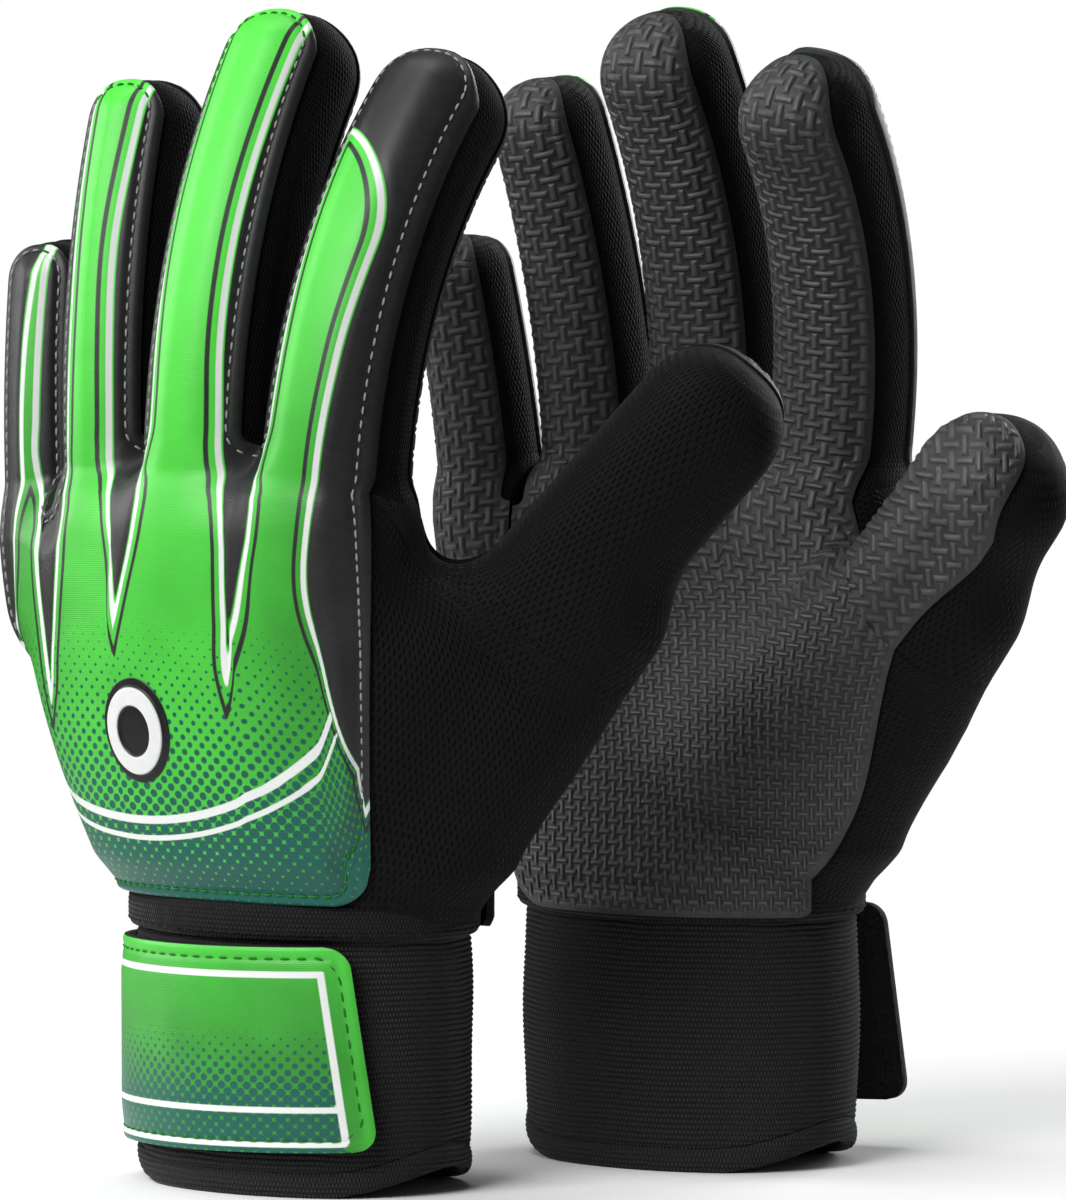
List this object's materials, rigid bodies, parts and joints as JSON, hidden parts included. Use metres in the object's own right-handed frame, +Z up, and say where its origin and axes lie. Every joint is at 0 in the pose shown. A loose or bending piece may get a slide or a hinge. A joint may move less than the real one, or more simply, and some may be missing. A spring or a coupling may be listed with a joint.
{
  "type": "pair of goalkeeper gloves",
  "caption": "Padded goalkeeper gloves standing on their cuffs, with curled fingers, latex palms, printed backs, knit gussets, elastic cuffs and peel-open wrist straps.",
  "frame": {"origin": "centre of the pair's bounding box, on the floor", "axes": "+Z up along the fingers; -Y towards the viewer, who sees the back of the left glove and the palm of the right one"},
  "size_m": [0.2142, 0.1424, 0.2358],
  "materials": {
    "printed_back": "printed foam-backed fabric, satin",
    "latex": "embossed foam latex, matt to satin",
    "mesh_knit": "matt mesh knit",
    "fine_knit": "matt fine rib knit",
    "binding_tape": "matt woven tape",
    "elastic": "ribbed elastic, matt",
    "printed_strap": "printed satin fabric",
    "strap_backing": "brushed loop fabric",
    "hook_tape": "fine plastic hooks",
    "loop_tape": "brushed loops",
    "badge": "moulded rubber, satin",
    "lining": "soft brushed lining"
  },
  "bodies": {
    "left_hand": {"left_back_panel": "printed_back", "left_palm_panel": "latex", "left_thumb_panel": "mesh_knit", "left_outer_panel": "mesh_knit", "left_lining": "lining", "left_badge": "badge", "left_wrist_binding": "binding_tape", "left_cuff": "elastic", "left_cuff_hem": "elastic", "left_loop_pad": "loop_tape"},
    "left_index": {"left_index_back": "printed_back", "left_index_palm": "latex", "left_index_gusset": "fine_knit"},
    "left_middle": {"left_middle_back": "printed_back", "left_middle_palm": "latex", "left_middle_gusset": "fine_knit"},
    "left_ring": {"left_ring_back": "printed_back", "left_ring_palm": "latex", "left_ring_gusset": "fine_knit"},
    "left_pinky": {"left_pinky_back": "printed_back", "left_pinky_palm": "latex", "left_pinky_gusset": "fine_knit"},
    "left_thumb": {"left_thumb_palm": "latex", "left_thumb_sleeve": "mesh_knit"},
    "left_strap": {"left_strap_backing": "strap_backing", "left_strap_face": "printed_strap", "left_strap_hook": "hook_tape"},
    "right_hand": {"right_back_panel": "printed_back", "right_palm_panel": "latex", "right_thumb_panel": "mesh_knit", "right_outer_panel": "mesh_knit", "right_lining": "lining", "right_badge": "badge", "right_wrist_binding": "binding_tape", "right_cuff": "elastic", "right_cuff_hem": "elastic", "right_loop_pad": "loop_tape"},
    "right_index": {"right_index_back": "printed_back", "right_index_palm": "latex", "right_index_gusset": "fine_knit"},
    "right_middle": {"right_middle_back": "printed_back", "right_middle_palm": "latex", "right_middle_gusset": "fine_knit"},
    "right_ring": {"right_ring_back": "printed_back", "right_ring_palm": "latex", "right_ring_gusset": "fine_knit"},
    "right_pinky": {"right_pinky_back": "printed_back", "right_pinky_palm": "latex", "right_pinky_gusset": "fine_knit"},
    "right_thumb": {"right_thumb_palm": "latex", "right_thumb_sleeve": "mesh_knit"},
    "right_strap": {"right_strap_backing": "strap_backing", "right_strap_face": "printed_strap", "right_strap_hook": "hook_tape"}
  },
  "joints": [
    {"name": "left_index_bend", "type": "hinge", "parent": "left_hand", "child": "left_index", "pos_m": [-0.0303, -0.03323, 0.14397], "axis": [-0.828, 0.5585, 0.0488], "range_deg": [0, 50], "stiffness_Nm_per_rad": 0.08},
    {"name": "left_middle_bend", "type": "hinge", "parent": "left_hand", "child": "left_middle", "pos_m": [-0.05412, -0.0172, 0.14497], "axis": [-0.8288, 0.559, 0.0244], "range_deg": [0, 50], "stiffness_Nm_per_rad": 0.08},
    {"name": "left_ring_bend", "type": "hinge", "parent": "left_hand", "child": "left_ring", "pos_m": [-0.0738, 0.00016, 0.14323], "axis": [-0.829, 0.5591, -0.014], "range_deg": [0, 50], "stiffness_Nm_per_rad": 0.08},
    {"name": "left_pinky_bend", "type": "hinge", "parent": "left_hand", "child": "left_pinky", "pos_m": [-0.08851, 0.01788, 0.1334], "axis": [-0.8282, 0.5587, -0.0436], "range_deg": [0, 50], "stiffness_Nm_per_rad": 0.08},
    {"name": "left_thumb_bend", "type": "hinge", "parent": "left_hand", "child": "left_thumb", "pos_m": [0.00538, -0.02874, 0.12213], "axis": [-0.7622, -0.0107, 0.6473], "range_deg": [0, 35], "stiffness_Nm_per_rad": 0.08},
    {"name": "left_strap_peel", "type": "hinge", "parent": "left_hand", "child": "left_strap", "pos_m": [-0.08115, 0.00352, 0.0285], "axis": [0, 0, -1], "range_deg": [0, 90], "stiffness_Nm_per_rad": 0.02},
    {"name": "right_index_bend", "type": "hinge", "parent": "right_hand", "child": "right_index", "pos_m": [0.0531, 0.0139, 0.14397], "axis": [0.828, -0.5585, -0.0488], "range_deg": [0, 50], "stiffness_Nm_per_rad": 0.08},
    {"name": "right_middle_bend", "type": "hinge", "parent": "right_hand", "child": "right_middle", "pos_m": [0.02932, 0.02998, 0.14497], "axis": [0.8288, -0.559, -0.0244], "range_deg": [0, 50], "stiffness_Nm_per_rad": 0.08},
    {"name": "right_ring_bend", "type": "hinge", "parent": "right_hand", "child": "right_ring", "pos_m": [0.00586, 0.04172, 0.14323], "axis": [0.829, -0.5591, 0.014], "range_deg": [0, 50], "stiffness_Nm_per_rad": 0.08},
    {"name": "right_pinky_bend", "type": "hinge", "parent": "right_hand", "child": "right_pinky", "pos_m": [-0.01609, 0.04873, 0.1334], "axis": [0.8282, -0.5587, 0.0436], "range_deg": [0, 50], "stiffness_Nm_per_rad": 0.08},
    {"name": "right_thumb_bend", "type": "hinge", "parent": "right_hand", "child": "right_thumb", "pos_m": [0.06203, -0.02298, 0.12016], "axis": [0.2618, -0.675, -0.6898], "range_deg": [0, 35], "stiffness_Nm_per_rad": 0.08},
    {"name": "right_strap_peel", "type": "hinge", "parent": "right_hand", "child": "right_strap", "pos_m": [-0.00002, 0.04728, 0.0285], "axis": [0, 0, 1], "range_deg": [0, 90], "stiffness_Nm_per_rad": 0.02},
    {"name": "right_glove_lift", "type": "slide", "parent": "left_hand", "child": "right_hand", "axis": [0, 0, 1], "range_m": [0, 0.3]}
  ]
}
